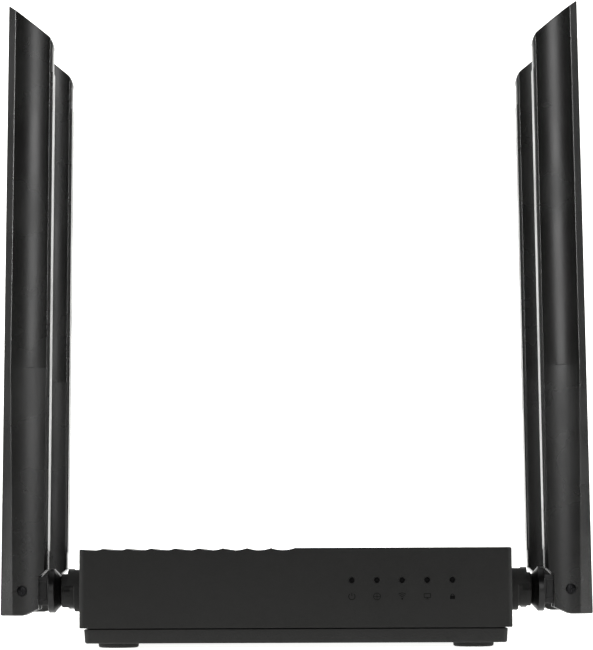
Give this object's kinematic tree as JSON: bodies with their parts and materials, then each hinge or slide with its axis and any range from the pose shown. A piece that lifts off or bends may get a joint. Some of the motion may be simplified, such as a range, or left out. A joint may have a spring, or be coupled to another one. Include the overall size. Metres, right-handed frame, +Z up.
{
  "type": "wireless router",
  "caption": "Compact square router case with hinged upright blade antennas on both sides, ports and buttons at the rear.",
  "frame": {"origin": "under the middle of the case, on the plane that the rubber feet stand on", "axes": "+X to the object's right seen from the front, front faces -Y, ports face +Y, +Z up"},
  "size_m": [0.15, 0.1068, 0.1645],
  "materials": {
    "cover_plastic": "fine spark-eroded texture, matte black",
    "base_plastic": "fine texture, matte black",
    "foot_rubber": "matte",
    "steel": "black zinc or plain",
    "clear_plastic": "clear moulded",
    "board_laminate": "green solder mask",
    "chip_epoxy": "moulded epoxy",
    "pad_silicone": "soft silicone",
    "aluminium": "extruded",
    "tinned_sheet": "tinned steel sheet",
    "ferrite": "sintered",
    "led_lens": "moulded lens",
    "port_plastic": "moulded",
    "gold_contact": "gold plated",
    "switch_plastic": "moulded",
    "lead_jacket": "extruded jacket",
    "button_plastic": "moulded, satin",
    "hinge_plastic": "moulded, semi-gloss",
    "blade_plastic": "moulded, semi-gloss black"
  },
  "bodies": {
    "housing": {"top_cover": "cover_plastic", "base_cover": "base_plastic", "rear_panel": "base_plastic", "rubber_feet": "foot_rubber", "case_screws": "steel", "antenna_sockets": "cover_plastic", "light_guide": "clear_plastic", "main_board": "board_laminate", "board_screws": "steel", "main_chip": "chip_epoxy", "thermal_pad": "pad_silicone", "heat_sink": "aluminium", "switch_chip": "chip_epoxy", "memory_chips": "chip_epoxy", "radio_chips": "chip_epoxy", "radio_shields": "tinned_sheet", "magnetics": "chip_epoxy", "capacitors": "aluminium", "inductors": "ferrite", "status_leds": "led_lens", "wan_jack": "port_plastic", "lan_jacks": "port_plastic", "jack_contacts": "gold_contact", "power_jack": "chip_epoxy", "power_jack_pin": "steel", "power_switch": "switch_plastic", "wps_switch": "switch_plastic", "coax_connectors": "gold_contact", "antenna_leads": "lead_jacket"},
    "power_button": {"power_button": "button_plastic"},
    "wps_button": {"wps_button": "button_plastic"},
    "front_left_knuckle": {"front_left_knuckle": "hinge_plastic", "front_left_shaft_clip": "steel"},
    "front_left_blade": {"front_left_sleeve": "blade_plastic", "front_left_sleeve_cover": "blade_plastic", "front_left_hinge_pin": "steel", "front_left_element": "board_laminate"},
    "front_right_knuckle": {"front_right_knuckle": "hinge_plastic", "front_right_shaft_clip": "steel"},
    "front_right_blade": {"front_right_sleeve": "blade_plastic", "front_right_sleeve_cover": "blade_plastic", "front_right_hinge_pin": "steel", "front_right_element": "board_laminate"},
    "rear_left_knuckle": {"rear_left_knuckle": "hinge_plastic", "rear_left_shaft_clip": "steel"},
    "rear_left_blade": {"rear_left_sleeve": "blade_plastic", "rear_left_sleeve_cover": "blade_plastic", "rear_left_hinge_pin": "steel", "rear_left_element": "board_laminate"},
    "rear_right_knuckle": {"rear_right_knuckle": "hinge_plastic", "rear_right_shaft_clip": "steel"},
    "rear_right_blade": {"rear_right_sleeve": "blade_plastic", "rear_right_sleeve_cover": "blade_plastic", "rear_right_hinge_pin": "steel", "rear_right_element": "board_laminate"}
  },
  "joints": [
    {"name": "power_press", "type": "slide", "parent": "housing", "child": "power_button", "axis": [0, -1, 0], "range_m": [0, 0.0015], "stiffness_N_per_m": 400},
    {"name": "wps_press", "type": "slide", "parent": "housing", "child": "wps_button", "axis": [0, -1, 0], "range_m": [0, 0.0005], "stiffness_N_per_m": 600},
    {"name": "front_left_swivel", "type": "hinge", "parent": "housing", "child": "front_left_knuckle", "pos_m": [-0.0534, -0.03, 0.014], "axis": [1, 0, 0], "range_deg": [-8, 90]},
    {"name": "front_left_fold", "type": "hinge", "parent": "front_left_knuckle", "child": "front_left_blade", "pos_m": [-0.06925, -0.03, 0.014], "axis": [0, -1, 0], "range_deg": [0, 90]},
    {"name": "front_right_swivel", "type": "hinge", "parent": "housing", "child": "front_right_knuckle", "pos_m": [0.0534, -0.03, 0.014], "axis": [1, 0, 0], "range_deg": [-8, 90]},
    {"name": "front_right_fold", "type": "hinge", "parent": "front_right_knuckle", "child": "front_right_blade", "pos_m": [0.06925, -0.03, 0.014], "axis": [0, 1, 0], "range_deg": [0, 90]},
    {"name": "rear_left_swivel", "type": "hinge", "parent": "housing", "child": "rear_left_knuckle", "pos_m": [-0.0534, 0.03, 0.014], "axis": [1, 0, 0], "range_deg": [-90, 8]},
    {"name": "rear_left_fold", "type": "hinge", "parent": "rear_left_knuckle", "child": "rear_left_blade", "pos_m": [-0.06925, 0.03, 0.014], "axis": [0, -1, 0], "range_deg": [0, 90]},
    {"name": "rear_right_swivel", "type": "hinge", "parent": "housing", "child": "rear_right_knuckle", "pos_m": [0.0534, 0.03, 0.014], "axis": [1, 0, 0], "range_deg": [-90, 8]},
    {"name": "rear_right_fold", "type": "hinge", "parent": "rear_right_knuckle", "child": "rear_right_blade", "pos_m": [0.06925, 0.03, 0.014], "axis": [0, 1, 0], "range_deg": [0, 90]}
  ]
}
